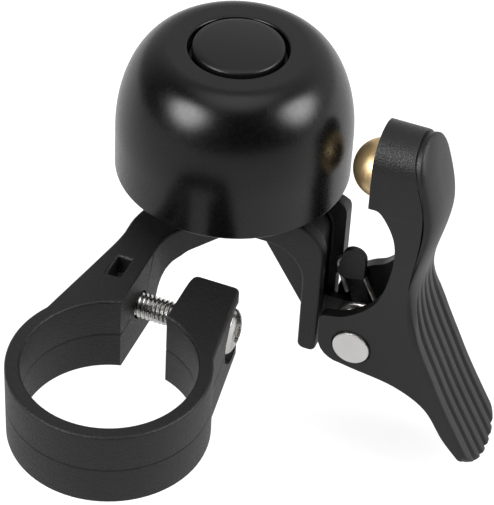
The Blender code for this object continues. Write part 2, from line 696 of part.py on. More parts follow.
def make_grip():
    """Strip over the lever's outer side, with ribs along the thumb pad that fade at the waist."""
    curve = grip_curve()
    top = (curve[0][0], curve[0][1] + PAST / 4)
    under = shifted(curve, grip_depths())
    band = [top, *curve[1:], *reversed(under[1:]), (under[0][0], top[1])]
    grip = prism("thumb_grip", band, "Y", bell_y - GRIP_WIDTH, bell_y + GRIP_WIDTH, False)
    keep(grip, prism("grip outline", grip_outline(), "X", pin_x, pin_x + 2 * PAD_END[0]))
    ribs_from = pin_z + WAIST[1] + 0.15 * (CREST[1] - WAIST[1])
    pad = [point for point in curve if point[1] < ribs_from]
    fade = [min(1.0, 0.15 + i / (len(pad) * 0.35)) for i in range(len(pad))]
    floor = shifted(pad, [RIB_DEPTH * share for share in fade])
    above = shifted(pad, -PAST)
    last = (floor[-1][0] + PAST / 2, floor[-1][1] - PAST)
    groove = [*floor, last, (above[-1][0] + PAST / 2, above[-1][1] - PAST), *reversed(above)]
    pitch = GRIP_WIDTH / RIB_COUNT
    middles = [bell_y - GRIP_WIDTH / 2 + pitch * i for i in range(1, RIB_COUNT)]
    half = RIB_GROOVE / 2
    cut(grip, *[fan_out(prism("groove", groove, "Y", middle - half, middle + half)) for middle in middles])
    pivot_at(grip, (pin_x, bell_y, pin_z))
    paint(grip, NYLON, 0.6)


def make_striker():
    """Brass dome on a shank that is pressed into the lever's head."""
    flat = head_face - striker_x - FIT
    edge = -flat / STRIKER_RADIUS
    rim = (STRIKER_RADIUS * (1 - edge**2) ** 0.5, flat)
    front = pi / 2
    swell = [(STRIKER_RADIUS * sin(a), -STRIKER_RADIUS * cos(a)) for a in (front * i / 10 for i in range(10))]
    swell = [point for point in swell if point[1] < flat]
    tip = STRIKER_SHANK + flat
    outline = [*swell, rim, (STRIKER_SHANK_RADIUS, flat), (STRIKER_SHANK_RADIUS, tip), (0, tip)]
    striker = turned("striker", outline, (striker_x, bell_y, striker_z), "X", 40)
    pivot_at(striker, (pin_x, bell_y, pin_z))
    paint(striker, (0.71, 0.49, 0.20), 0.3, 1)


def make_pin():
    """Flat-headed pivot pin through the lever and the ear, held by a push-on washer at the back."""
    head = PIN_HEAD_HEIGHT
    start = front_y - PIN_HEAD_PROUD
    end = rear_y - front_y + PIN_HEAD_PROUD
    bevel = PIN_HEAD_RADIUS * 0.08
    seat = head - FIT
    outline = [(0, 0), (PIN_HEAD_RADIUS - bevel, 0), (PIN_HEAD_RADIUS, bevel), (PIN_HEAD_RADIUS, seat)]
    outline += [(PIN_RADIUS, seat), (PIN_RADIUS, end), (0, end)]
    pin = turned("pivot_pin", outline, (pin_x, start, pin_z), "Y", 40)
    paint(pin, STEEL, 0.35, 1)

    bore = PIN_RADIUS + RUNNING
    washer = [(bore, 0), (PIN_HEAD_RADIUS, 0), (PIN_HEAD_RADIUS, RETAINER_HEIGHT), (bore, RETAINER_HEIGHT)]
    retainer = turned("pin_retainer", washer, (pin_x, rear_y - RETAINER_HEIGHT, pin_z), "Y", 40)
    paint(retainer, STEEL, 0.4, 1)


def spring_route():
    """Points of the wire: hook tail, hook, leg, coil round the boss, and the leg to the lever's web."""
    first = ear_front - WIRE / 2 - FIT
    last = front_y + CHEEK_THICK + WIRE / 2 + FIT
    hook = hook_centre()
    bend = arc(hook, HOOK_RADIUS, HOOK_LEG_ANGLE + HOOK_WRAP, HOOK_LEG_ANGLE, 8)
    tail_angle = HOOK_LEG_ANGLE + HOOK_WRAP
    tail = (bend[0][0] - HOOK_TAIL * sin(tail_angle), bend[0][1] + HOOK_TAIL * cos(tail_angle))
    route = [(x, first, z) for x, z in [tail, *bend]]
    sweep = 2 * pi * COIL_TURNS - (WEB_LEG_ANGLE - HOOK_LEG_ANGLE)
    steps = 10 * COIL_TURNS
    for i in range(steps + 1):
        share = i / steps
        angle = HOOK_LEG_ANGLE - sweep * share
        x, z = pin_x + COIL_RADIUS * cos(angle), pin_z + COIL_RADIUS * sin(angle)
        route.append((x, first + (last - first) * share, z))
    x, y, z = route[-1]
    along = (sin(WEB_LEG_ANGLE), -cos(WEB_LEG_ANGLE))
    wall = shifted(grip_curve(), grip_depths(FIT + WEB_THICK + WIRE / 2 + WEB_LEG_TRIM))
    reach = 0.0
    while inside_of(wall, (x + reach * along[0], z + reach * along[1])):
        reach += WIRE / 8
    route.append((x + reach * along[0], y, z + reach * along[1]))
    return route


def inside_of(wall, point):
    """True while the point lies on the pin's side of the wall, level for level."""
    for (x0, z0), (x1, z1) in zip(wall, wall[1:]):
        if z1 <= point[1] <= z0:
            return point[0] < x0 + (x1 - x0) * (z0 - point[1]) / (z0 - z1)
    return False


def least_gap(route):
    """Least clear gap between stretches of the wire that aren't neighbours along it."""
    points = []
    for a, b in zip(route, route[1:]):
        a, b = Vector(a), Vector(b)
        count = max(1, round((b - a).length / (WIRE / 2)))
        points += [a.lerp(b, i / count) for i in range(count)]
    apart = 8
    pairs = ((p, q) for i, p in enumerate(points) for q in points[i + apart :])
    return min((p - q).length for p, q in pairs) - WIRE


def make_spring():
    route = spring_route()
    curve = bpy.data.curves.new("return_spring", "CURVE")
    curve.dimensions = "3D"
    curve.bevel_depth = WIRE / 2
    curve.bevel_resolution = 1
    curve.use_fill_caps = True
    spline = curve.splines.new("POLY")
    spline.points.add(len(route) - 1)
    for point, place in zip(spline.points, route):
        point.co = (*place, 1)
    spring = bpy.data.objects.new("return_spring", curve)
    bpy.context.scene.collection.objects.link(spring)
    paint(spring, STEEL, 0.25, 1)
    print(f"return_spring: least gap to itself {least_gap(route) * 1000:.2f} mm")


for old in list(bpy.data.objects):
    bpy.data.objects.remove(old)
make_bracket()
make_clamp_fasteners()
make_bell()
make_lever()
make_grip()
make_striker()
make_pin()
make_spring()
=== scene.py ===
"""Looks of the bicycle bell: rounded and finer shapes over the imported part, its finishes,
and the white studio of the photograph."""

from math import cos, hypot, pi, radians, sin

import bmesh
import bpy
from mathutils import Matrix, Vector


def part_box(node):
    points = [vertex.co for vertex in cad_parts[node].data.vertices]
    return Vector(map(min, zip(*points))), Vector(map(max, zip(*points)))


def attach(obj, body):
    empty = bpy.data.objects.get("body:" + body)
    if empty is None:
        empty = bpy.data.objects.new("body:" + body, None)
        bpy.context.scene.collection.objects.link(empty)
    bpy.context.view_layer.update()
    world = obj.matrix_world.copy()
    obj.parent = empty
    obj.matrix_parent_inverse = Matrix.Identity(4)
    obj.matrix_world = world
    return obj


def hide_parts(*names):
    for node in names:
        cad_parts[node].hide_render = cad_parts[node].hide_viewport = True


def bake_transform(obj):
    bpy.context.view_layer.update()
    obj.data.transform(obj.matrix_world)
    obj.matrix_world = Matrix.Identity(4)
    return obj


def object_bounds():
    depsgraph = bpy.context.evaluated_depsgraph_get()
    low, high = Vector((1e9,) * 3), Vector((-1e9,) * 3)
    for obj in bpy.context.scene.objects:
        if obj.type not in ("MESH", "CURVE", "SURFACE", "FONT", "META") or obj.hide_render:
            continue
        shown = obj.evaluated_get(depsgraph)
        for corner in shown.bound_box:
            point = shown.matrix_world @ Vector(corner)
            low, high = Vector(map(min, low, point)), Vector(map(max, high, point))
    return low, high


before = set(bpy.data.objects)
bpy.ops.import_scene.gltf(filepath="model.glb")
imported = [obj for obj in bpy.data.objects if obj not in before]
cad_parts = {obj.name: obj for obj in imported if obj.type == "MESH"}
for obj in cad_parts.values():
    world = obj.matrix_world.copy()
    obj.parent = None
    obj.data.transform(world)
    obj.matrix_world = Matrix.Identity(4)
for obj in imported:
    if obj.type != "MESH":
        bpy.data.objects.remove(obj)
cad_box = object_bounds()


# Bracket: one moulding that holds the handlebar, the bell and the lever, its edges rounded and
# its ring marked by a parting line as the mould leaves them.
# Black nylon with a fine grain that breaks up its dull shine.


class Value:
    """An output of a shader node that takes part in sums, so that a finish reads as a formula."""

    def __init__(self, tree, socket):
        self.tree, self.socket = tree, socket

    def node(self, kind, inputs, **settings):
        made = self.tree.nodes.new(kind)
        for name, setting in settings.items():
            setattr(made, name, setting)
        for key, value in inputs.items():
            if isinstance(value, Value):
                self.tree.links.new(value.socket, made.inputs[key])
            else:
                made.inputs[key].default_value = value
        return Value(self.tree, made.outputs[0] if made.outputs else None)

    def math(self, operation, other):
        return self.node("ShaderNodeMath", {0: self, 1: other}, operation=operation)

    def __add__(self, other):
        return self.math("ADD", other)

    def __mul__(self, other):
        return self.math("MULTIPLY", other)

    __radd__, __rmul__ = __add__, __mul__

    def noise(self, size, detail=2.0, roughness=0.5):
        """Noise whose lumps are about size metres across, between 0 and 1."""
        inputs = {"Vector": self, "Scale": 1 / size, "Detail": detail, "Roughness": roughness}
        return self.node("ShaderNodeTexNoise", inputs)

    def spread(self, low, high):
        """Maps the middle of a noise, 0.3 to 0.7, to low and high."""
        inputs = {"Value": self, "From Min": 0.3, "From Max": 0.7, "To Min": low, "To Max": high}
        return self.node("ShaderNodeMapRange", inputs)

    def stretched(self, x, y, z):
        return self.node("ShaderNodeMapping", {"Vector": self, "Scale": (x, y, z)})

    def part(self, letter):
        split = self.node("ShaderNodeSeparateXYZ", {0: self})
        return Value(self.tree, split.socket.node.outputs["XYZ".index(letter)])

    def blended(self, low, high):
        """A colour between low and high, by this value."""
        inputs = {"Factor": self, 6: (*low, 1), 7: (*high, 1)}
        mixed = self.node("ShaderNodeMix", inputs, data_type="RGBA")
        return Value(self.tree, mixed.socket.node.outputs[2])

    def bump(self, depth, strength=1.0):
        """A normal that this value dents by up to depth metres."""
        inputs = {"Strength": strength, "Distance": depth, "Height": self}
        return self.node("ShaderNodeBump", inputs)


def new_finish(name, metallic=0.0):
    """A material, its shader, and its object coordinates to make patterns from."""
    material = bpy.data.materials.new(name)
    material.use_nodes = True
    tree = material.node_tree
    shader = tree.nodes["Principled BSDF"]
    shader.inputs["Metallic"].default_value = metallic
    coordinates = tree.nodes.new("ShaderNodeTexCoord")
    return material, shader, Value(tree, coordinates.outputs["Object"])


def connect(shader, **values):
    names = {"colour": "Base Color", "roughness": "Roughness", "normal": "Normal"}
    for key, value in values.items():
        value.tree.links.new(value.socket, shader.inputs[names[key]])


def grained(name, dark, light, grain, depth, roughness, fade=None):
    """Moulded plastic or rubber with a fine grain, a little uneven in tone.

    fade takes the object coordinates and gives the share of the grain's depth left there."""
    material, shader, place = new_finish(name)
    lumps = place.noise(grain, detail=3.0, roughness=0.6)
    tone = place.noise(size=0.006)
    height = lumps * fade(place) if fade else lumps
    connect(
        shader,
        colour=tone.spread(0.0, 1.0).blended(dark, light),
        roughness=lumps.spread(*roughness),
        normal=height.bump(depth),
    )
    return material


def add_piece(name, bm, material, body, replaced=None, smooth=30):
    """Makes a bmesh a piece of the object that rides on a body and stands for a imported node."""
    bmesh.ops.recalc_face_normals(bm, faces=bm.faces)
    mesh = bpy.data.meshes.new(name)
    bm.to_mesh(mesh)
    bm.free()
    mesh.materials.append(material)
    mesh.shade_smooth()
    mesh.set_sharp_from_angle(angle=radians(smooth))
    piece = bpy.data.objects.new(name, mesh)
    bpy.context.scene.collection.objects.link(piece)
    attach(piece, body)
    if replaced:
        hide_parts(replaced)
    piece.modifiers.new("flat faces stay flat", "WEIGHTED_NORMAL").keep_sharp = True


def packed(node):
    """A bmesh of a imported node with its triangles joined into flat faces."""
    same_point, same_plane = 2e-6, radians(0.8)
    bm = bmesh.new()
    bm.from_mesh(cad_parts[node].data)
    bmesh.ops.remove_doubles(bm, verts=bm.verts, dist=same_point)
    bmesh.ops.dissolve_limit(bm, angle_limit=same_plane, verts=bm.verts, edges=bm.edges)
    return bm


def sharp_edges(bm, turn=32):
    """The edges that turn by more than so many degrees, which no real piece leaves sharp."""
    return [e for e in bm.edges if e.is_manifold and e.calc_face_angle() > radians(turn)]


def round_off(bm, edges, radius, segments=2, clamped=True):
    """Rounds edges. Clamped, the radius shrinks to what the shortest edge nearby has room for."""
    bmesh.ops.bevel(
        bm,
        geom=edges,
        offset=radius,
        offset_type="OFFSET",
        segments=segments,
        profile=0.5,
        affect="EDGES",
        clamp_overlap=clamped,
        material=-1,
    )


nylon = grained(
    "nylon",
    dark=(0.004, 0.004, 0.0041),
    light=(0.006, 0.006, 0.0062),
    grain=0.00030,
    depth=0.00012,
    roughness=(0.36, 0.52),
)
near, sliver = 0.0001, 0.00007
leg_left, leg_right, ear_y, foot_round, mould_round = 0.0154, 0.0185, 0.0452, 0.0011, 0.00045
hole_half, hole_front, hole_back = 0.0053, 0.0165, 0.0315
keeper_left, keeper_front, keeper_low = 0.0188, 0.0444, -0.0125
post_right, post_front, post_low = 0.0015, 0.046, 0.0035
bm = packed("bracket")
bmesh.ops.remove_doubles(bm, verts=bm.verts, dist=sliver)
foot_level = min(v.co.z for v in bm.verts if v.co.x < leg_right + near)


def is_foot_corner(edge):
    """True for the two lower edges of the leg that run from front to back along its outer corners."""
    ends = [v.co for v in edge.verts]
    if any(abs(co.z - foot_level) > near for co in ends) or abs(ends[0].x - ends[1].x) > near:
        return False
    at_right = abs(ends[0].x - leg_right) < near and ends[0].y < ear_y
    return at_right or abs(ends[0].x - leg_left) < near


def has_room(edge, radius):
    """True where no edge that crosses an end of this one is too short to be cut back by the radius."""
    in_line, spare = 0.85, 2.2
    along = (edge.verts[1].co - edge.verts[0].co).normalized()
    for v in edge.verts:
        for other in v.link_edges:
            way = (other.other_vert(v).co - v.co).normalized()
            if abs(way.dot(along)) < in_line and other.calc_length() < spare * radius:
                return False
    return True


def in_fine_place(edge):
    """True in the screw and nut holes, at the spring's keeper, and at the foot of the post in the bell."""
    for x, y, z in (v.co for v in edge.verts):
        in_hole = abs(z) < hole_half and hole_front < y < hole_back
        at_keeper = x > keeper_left and y > keeper_front and z > keeper_low
        at_post = x < post_right and y > post_front and z > post_low
        if in_hole or at_keeper or at_post:
            return True
    return False


def on_ring_wall(v):
    """True on the ring's outer wall and in its bore, whose faces look away from its axis or at it."""
    tilt, aim = 0.2, 0.8
    return abs(v.normal.z) < tilt and abs(v.normal.dot(v.co)) > aim * v.co.length


round_off(bm, [e for e in bm.edges if is_foot_corner(e)], foot_round, segments=5)
plain = [e for e in sharp_edges(bm) if has_room(e, mould_round) and not in_fine_place(e)]
round_off(bm, plain, mould_round, segments=3, clamped=False)

seam_half, seam_depth, seam_end = 0.00014, 0.00012, 0.0230
for level in (-seam_half, 0, seam_half):
    ring = [f for f in bm.faces if f.calc_center_median().y < seam_end]
    ring_edges = dict.fromkeys(e for f in ring for e in f.edges)
    ring_verts = dict.fromkeys(v for f in ring for v in f.verts)
    ring += [*ring_edges, *ring_verts]
    bmesh.ops.bisect_plane(bm, geom=ring, dist=1e-7, plane_co=(0, 0, level), plane_no=(0, 0, 1))
bm.normal_update()
for v in bm.verts:
    if abs(v.co.z) < 1e-6 and v.co.y < seam_end and on_ring_wall(v):
        v.co -= v.normal * seam_depth
add_piece("bracket_moulding", bm, nylon, "frame", "bracket")


# Clamp screw and nut: the screw draws the ring's two lugs together into a square nut in the arm.
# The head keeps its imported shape, and the shank gets a real thread, one ridge that winds along it.
# Both are bright plain steel.


def steel(name, colour, roughness, streak):
    """Bright metal with faint marks drawn out along one axis."""
    material, shader, place = new_finish(name, metallic=1.0)
    marks = place.stretched(*streak).noise(0.00025, detail=3.0)
    shader.inputs["Base Color"].default_value = (*colour, 1)
    connect(shader, roughness=marks.spread(*roughness), normal=marks.bump(0.000006, strength=0.3))
    return material


bright_steel = steel("bright steel", colour=(0.68, 0.67, 0.65), roughness=(0.20, 0.30), streak=(0.2, 1, 1))
low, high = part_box("clamp_screw")
screw_y, screw_z = (low[1] + high[1]) / 2, (low[2] + high[2]) / 2
head_seat, head_round, nut_round = 0.01015, 0.0001, 0.0002
bm = packed("clamp_screw")
shank = [v for v in bm.verts if v.co.x < head_seat - near]
bmesh.ops.delete(bm, geom=shank, context="VERTS")
bmesh.ops.holes_fill(bm, edges=[e for e in bm.edges if e.is_boundary], sides=0)
round_off(bm, sharp_edges(bm), head_round)
add_piece("screw_head", bm, bright_steel, "screw", "clamp_screw")

pitch, crest, root, around, run_in, run_out = 0.0007, 0.0020, 0.00158, 36, 2, 1
turns = round((head_seat - low[0]) / pitch) + run_in + run_out
ridge = [(0.0, root), (0.42, crest), (0.58, crest), (1.0, root)]
bm = bmesh.new()
flank = [(low[0] + pitch * (share - run_in), screw_y + radius, screw_z) for share, radius in ridge]
flank = [bm.verts.new(point) for point in flank]
flank += [bm.edges.new(pair) for pair in zip(flank, flank[1:])]
bmesh.ops.spin(
    bm,
    geom=flank,
    cent=(0, screw_y, screw_z),
    axis=(1, 0, 0),
    dvec=(pitch / around, 0, 0),
    angle=2 * pi * turns,
    steps=around * turns,
)
bmesh.ops.remove_doubles(bm, verts=bm.verts, dist=1e-6)
for end, outwards in ((low[0], -1), (head_seat, 1)):
    whole = bm.verts[:] + bm.edges[:] + bm.faces[:]
    cut = {"plane_co": (end, 0, 0), "plane_no": (outwards, 0, 0)}
    bmesh.ops.bisect_plane(bm, geom=whole, clear_outer=True, **cut)
bmesh.ops.holes_fill(bm, edges=[e for e in bm.edges if e.is_boundary], sides=0)
add_piece("screw_thread", bm, bright_steel, "screw", smooth=60)

bm = packed("clamp_nut")
round_off(bm, sharp_edges(bm), nut_round)
add_piece("square_nut", bm, bright_steel, "frame", "clamp_nut")


# Bell dome: a drawn metal shell with a rolled rim and a soft edge round the dimple on its top,
# held by its screw through the dimple's floor.
# A satin black coat with a fine orange-peel texture.


def turned(outline, centre, sides, axis="Z"):
    """A bmesh of a closed outline of (radius, height) points turned round an axis."""
    bm = bmesh.new()
    ring = [bm.verts.new((radius, 0, height)) for radius, height in outline]
    edges = [bm.edges.new(pair) for pair in zip(ring, ring[1:] + ring[:1])]
    bmesh.ops.spin(bm, geom=ring + edges, axis=(0, 0, 1), angle=2 * pi, steps=sides, use_merge=True)
    middle = [v for v in bm.verts if hypot(v.co.x, v.co.y) < 1e-7]
    bmesh.ops.remove_doubles(bm, verts=middle, dist=1e-6)
    bmesh.ops.dissolve_degenerate(bm, edges=bm.edges, dist=1e-7)
    onto_x, onto_y = Matrix.Rotation(pi / 2, 4, "Y"), Matrix.Rotation(-pi / 2, 4, "X")
    turn = {"X": onto_x, "Y": onto_y, "Z": Matrix()}[axis]
    bmesh.ops.transform(bm, matrix=Matrix.Translation(centre) @ turn, verts=bm.verts)
    return bm


def arc(centre, radius, start, end, steps):
    """Points on an arc between two angles in degrees."""
    angles = [radians(start + (end - start) * i / steps) for i in range(steps + 1)]
    return [(centre[0] + radius * cos(a), centre[1] + radius * sin(a)) for a in angles]


low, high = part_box("bell_dome")
bell_x, bell_y, rim = (low[0] + high[0]) / 2, (low[1] + high[1]) / 2, low[2]
bell_radius, height = (high[0] - low[0]) / 2, high[2] - low[2]
wall, skirt, shoulder_width, dimple, dimple_depth = 0.0014, 0.0074, 0.0080, 0.00775, 0.0042
quarter = arc((0, 0), 1, 0, 90, steps=40)
outer = [(bell_radius - shoulder_width * (1 - c), skirt + (height - skirt) * s) for c, s in quarter]
inside = bell_radius - wall
inner = [(inside - shoulder_width * (1 - c), skirt + (height - wall - skirt) * s) for c, s in quarter]
inner = [point for point in inner if point[0] > dimple + wall]
lip, edge, hole, floor = 0.0005, 0.0004, 0.0023, height - dimple_depth
outline = [
    *arc((inside + lip, lip), lip, 180, 270, 4),
    *arc((bell_radius - lip, lip), lip, 270, 360, 6),
    *outer,
    *arc((dimple + edge, height - edge), edge, 90, 180, 6),
    (dimple, floor),
    (hole, floor),
    (hole, floor - wall),
    (dimple + wall, floor - wall),
    *reversed(inner),
]
coat, shader, place = new_finish("satin black coat")
shader.inputs["Base Color"].default_value = (0.0015, 0.0015, 0.0016, 1)
connect(
    shader,
    roughness=place.noise(0.0008, detail=3.0).spread(0.25, 0.29),
    normal=place.noise(0.0005).bump(0.000001, strength=0.4),
)
bm = turned(outline, (bell_x, bell_y, rim), sides=160)
add_piece("dome_shell", bm, coat, "frame", "bell_dome")


# Bell cap: a low button pressed into the dimple over the bell's screw, with a bevelled edge
# and a dark groove left round it. Satin black plastic.

low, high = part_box("bell_cap")
flange, cap_radius, groove_floor = (high[0] - low[0]) / 2, 0.0071, 0.0019
top, bevel, hollow, cap_wall = high[2] - low[2], 0.0005, 0.0060, 0.0016
crown_drop, crown_steps = 0.0005, 12
shares = [1 - i / crown_steps for i in range(1, crown_steps + 1)]
crown = [(cap_radius * share, top - crown_drop * share**2) for share in shares]
outline = [
    (hollow, 0),
    (flange, 0),
    (flange, groove_floor),
    (cap_radius, groove_floor),
    *arc((cap_radius - bevel, top - crown_drop - bevel), bevel, 0, 80, 5),
    *crown,
    (0, top - cap_wall),
    (hollow, top - cap_wall),
]
cap_finish, shader, place = new_finish("satin cap")
shader.inputs["Base Color"].default_value = (0.004, 0.004, 0.0042, 1)
connect(
    shader,
    roughness=place.noise(0.0005, detail=3.0).spread(0.36, 0.44),
    normal=place.noise(0.0003).bump(0.000008, strength=0.5),
)
bm = turned(outline, (bell_x, bell_y, low[2]), sides=96)
add_piece("cap_button", bm, cap_finish, "frame", "bell_cap")


# Bell screw and its two soft washers: they hold the dome on the bracket's post and let it ring.
# Steel and rubber, out of sight under the cap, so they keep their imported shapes.


def keep_packed(node, material):
    """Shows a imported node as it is, in a finish of this script."""
    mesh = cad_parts[node].data
    mesh.materials.clear()
    mesh.materials.append(material)


washer_rubber = grained(
    "washer rubber",
    dark=(0.010, 0.010, 0.010),
    light=(0.015, 0.015, 0.015),
    grain=0.0004,
    depth=0.00003,
    roughness=(0.7, 0.85),
)
keep_packed("bell_screw", bright_steel)
keep_packed("upper_isolator", washer_rubber)
keep_packed("lower_isolator", washer_rubber)


# Thumb lever: two cheeks on the pin, a web between them and a solid head, in one moulding.
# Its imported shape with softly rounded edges, in matte dark plastic.

head_low, head_blend, cheek_grain = 0.0125, 0.0015, 0.1


def on_head(place):
    """Grain on the lever's head only: its cheeks are smooth."""
    level = place.part("Z")
    inputs = {0: level, 1: head_low, 2: head_low + head_blend, 3: cheek_grain, 4: 1.0}
    return level.node("ShaderNodeMapRange", inputs)


lever_plastic = grained(
    "lever plastic",
    dark=(0.008, 0.008, 0.0083),
    light=(0.011, 0.011, 0.0114),
    grain=0.00030,
    depth=0.00010,
    roughness=(0.34, 0.46),
    fade=on_head,
)
bm = packed("lever_body")
end_height, end_width, end_round, lever_round = 0.0008, 0.002, 0.0007, 0.00025
end_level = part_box("lever_body")[0][2] + end_height
tip = [e for e in sharp_edges(bm) if all(v.co.z < end_level for v in e.verts)]
tip = [e for e in tip if abs(e.verts[0].co.y - e.verts[1].co.y) > end_width]
round_off(bm, tip, end_round, segments=4)
round_off(bm, sharp_edges(bm), lever_round, segments=3)
add_piece("lever_moulding", bm, lever_plastic, "lever", "lever_body")


# Thumb grip: a soft strip moulded over the lever's outer side, fat and round at the head,
# narrow at the waist, then spreading into a pad whose six flat ribs fan out with it.
# Dull black rubber with a very fine grain.

pin_low, pin_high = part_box("pivot_pin")
pin_x, pin_z = (pin_low[0] + pin_high[0]) / 2, (pin_low[2] + pin_high[2]) / 2
low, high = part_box("thumb_grip")
grip_y, pad_half, head_half = (low[1] + high[1]) / 2, (high[1] - low[1]) / 2, 0.0053
strip_spine = [(0.0082, 0.0420), (0.0115, 0.0283), (0.0096, 0.0126), (0.0153, -0.0027), (0.0233, -0.0180)]
head_thick, pad_thick, strip_seat, side_wall = 0.0018, 0.0009, 0.00027, 0.0002
front_crown, rear_crown, pad_edge = (0.0053, 0.0013), (0.0040, 0.0005), (0.0005, 0.0004)
ribs, rib_depth, groove_half = 6, 0.0005, 0.30
ribs_start, ribs_full = 0.0160, 0.0085


def on_spine(share):
    """Point of the strip's outer side and its inward direction, from the head's top (0) to the end (1)."""
    points = strip_spine
    ends = [tuple(2 * a - b for a, b in zip(points[i], points[j])) for i, j in ((0, 1), (-1, -2))]
    chain = [Vector(p) for p in (ends[0], *points, ends[1])]
    place = min(share * (len(points) - 1), len(points) - 1 - 1e-6)
    p0, p1, p2, p3 = chain[int(place) : int(place) + 4]
    t = place - int(place)
    point = p1 + (p2 - p0) * t / 2 + (2 * p0 - 5 * p1 + 4 * p2 - p3) * t * t / 2
    point += (3 * p1 - 3 * p2 + p3 - p0) * t**3 / 2
    along = (p2 - p0) / 2 + (2 * p0 - 5 * p1 + 4 * p2 - p3) * t + (3 * p1 - 3 * p2 + p3 - p0) * t * t * 1.5
    along.normalize()
    return point, Vector((along.y, -along.x))


def eased(share):
    share = min(max(share, 0), 1)
    return share**2 * (3 - 2 * share)


def thickness(level):
    """Thickness of the strip at a level above the pin: full at the head, thin from the waist down."""
    crest, waist = strip_spine[1][1], strip_spine[2][1]
    return pad_thick + (head_thick - pad_thick) * eased((level - waist) / (crest - waist))


def fanned_half(level):
    """Half width at a level above the pin, were the strip's two ends not round."""
    waist, pad, lead = strip_spine[2][1], strip_spine[3][1], 0.15
    start = waist + lead * (waist - pad)
    return head_half + (pad_half - head_half) * eased((start - level) / (start - (waist + pad) / 2))


def strip_half(level):
    """Half width of the strip at a level above the pin."""
    top, end, tip = strip_spine[0][1], strip_spine[-1][1], pad_half / 2
    if level > top - head_half:
        return max(head_half**2 - (level - top + head_half) ** 2, 0) ** 0.5
    if level < end + tip:
        return pad_half * max(1 - ((end + tip - level) / tip) ** 2, 0) ** 0.5
    return fanned_half(level)


def dressed_depth(point, side, edge):
    """How far the outer skin lies below the spine, for its round edges and the grooves between its ribs."""
    swell = min(max((point.y - ribs_full) / (ribs_start - ribs_full), 0), 1)
    to_rear = eased((side / head_half + 1) / 2)
    crown = [front + (rear - front) * to_rear for front, rear in zip(front_crown, rear_crown)]
    width, drop = (low + (high - low) * swell for low, high in zip(pad_edge, crown))
    rest = max(1 - edge / width, 0)
    depth = drop * (1 - (1 - rest**2) ** 0.5)
    rib = (side / fanned_half(point.y) + 1) / 2 * ribs
    off_groove = min(abs(rib - i) for i in range(1, ribs)) / groove_half
    if off_groove < 1:
        depth = max(depth, rib_depth * (1 - swell) * (1 - off_groove**2) ** 2)
    return depth


def strip_surface(bm, rows, columns, under):
    """One skin of the strip: a grid laid along the spine, rounded at its edges and grooved on the pad."""
    look_round, evenly, to_edges = 40, 0.55, 0.45
    made = bmesh.ops.create_grid(bm, x_segments=rows, y_segments=columns, size=1)
    shares = sorted({round((1 - cos(pi * (v.co.x + 1) / 2)) / 2, 6) for v in made["verts"]})
    spine = [on_spine(share) for share in shares]
    halves = [strip_half(point.y) for point, _ in spine]
    run = [0.0]
    for (first, _), (second, _) in zip(spine, spine[1:]):
        run.append(run[-1] + (second - first).length)
    for v in made["verts"]:
        row = shares.index(round((1 - cos(pi * (v.co.x + 1) / 2)) / 2, 6))
        point, inward = spine[row]
        side = (evenly * v.co.y + to_edges * sin(pi / 2 * v.co.y)) * halves[row]
        depth = thickness(point.y) + strip_seat
        if not under:
            nearby = range(max(row - look_round, 0), min(row + look_round + 1, len(run)))
            edge = min(hypot(halves[i] - abs(side), run[i] - run[row]) for i in nearby)
            depth = min(dressed_depth(point, side, edge), depth - side_wall)
        x, z = point + inward * depth
        v.co = (pin_x + x, grip_y + side, pin_z + max(z, strip_spine[-1][1]))


grip_rubber = grained(
    "grip rubber",
    dark=(0.006, 0.006, 0.0062),
    light=(0.009, 0.009, 0.0093),
    grain=0.00025,
    depth=0.00006,
    roughness=(0.36, 0.48),
)
bm = bmesh.new()
strip_surface(bm, rows=140, columns=140, under=False)
strip_surface(bm, rows=140, columns=140, under=True)
bmesh.ops.remove_doubles(bm, verts=bm.verts, dist=1e-7)
bmesh.ops.dissolve_degenerate(bm, edges=bm.edges, dist=1e-7)
bmesh.ops.bridge_loops(bm, edges=[e for e in bm.edges if e.is_boundary])
add_piece("grip_strip", bm, grip_rubber, "lever", "thumb_grip", smooth=50)


# Striker: a brass dome on a shank that is pressed into the lever's head and hits the bell's side.
# Turned, with the faint rings that turning leaves.

low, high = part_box("striker")
ball = (high[1] - low[1]) / 2
ball_y, ball_z, tip = (low[1] + high[1]) / 2, (low[2] + high[2]) / 2, high[0] - low[0]
shank, flat, lip_share, dome_end, dome_steps = 0.0018, ball - 0.00055, 0.995, 80, 24
angles = [radians(dome_end * i / dome_steps) for i in range(dome_steps + 1)]
outline = [(ball * sin(a), ball * (1 - cos(a))) for a in angles]
outline += [(ball * lip_share, flat), (shank, flat), (shank, tip), (0, tip)]
brass, shader, place = new_finish("satin brass", metallic=1.0)
rings = place.stretched(1, 0.12, 0.12).noise(0.0002)
connect(
    shader,
    colour=place.noise(0.002).spread(0, 1).blended((0.80, 0.57, 0.29), (0.88, 0.67, 0.38)),
    roughness=rings.spread(0.40, 0.52),
    normal=rings.bump(0.000006, strength=0.5),
)
bm = turned(outline, (low[0], ball_y, ball_z), sides=64, axis="X")
add_piece("striker_dome", bm, brass, "lever", "striker")


# Pivot pin and its push-on washer: the pin goes through both cheeks and the bracket's ear.
# Pale steel, a flat head with a small bevel, brushed straight across.

brushed = steel("brushed pin", colour=(0.88, 0.86, 0.85), roughness=(0.30, 0.56), streak=(1, 1, 0.06))
head, long = (pin_high[0] - pin_low[0]) / 2, pin_high[1] - pin_low[1]
thick, shank, edge = 0.00085, 0.0015, 0.0002
outline = [(0, 0), *arc((head - edge, edge), edge, 270, 360, 5)]
outline += [(head, thick), (shank, thick), (shank, long), (0, long)]
bm = turned(outline, (pin_x, pin_low[1], pin_z), sides=72, axis="Y")
add_piece("pin_with_head", bm, brushed, "frame", "pivot_pin")
keep_packed("pin_retainer", brushed)


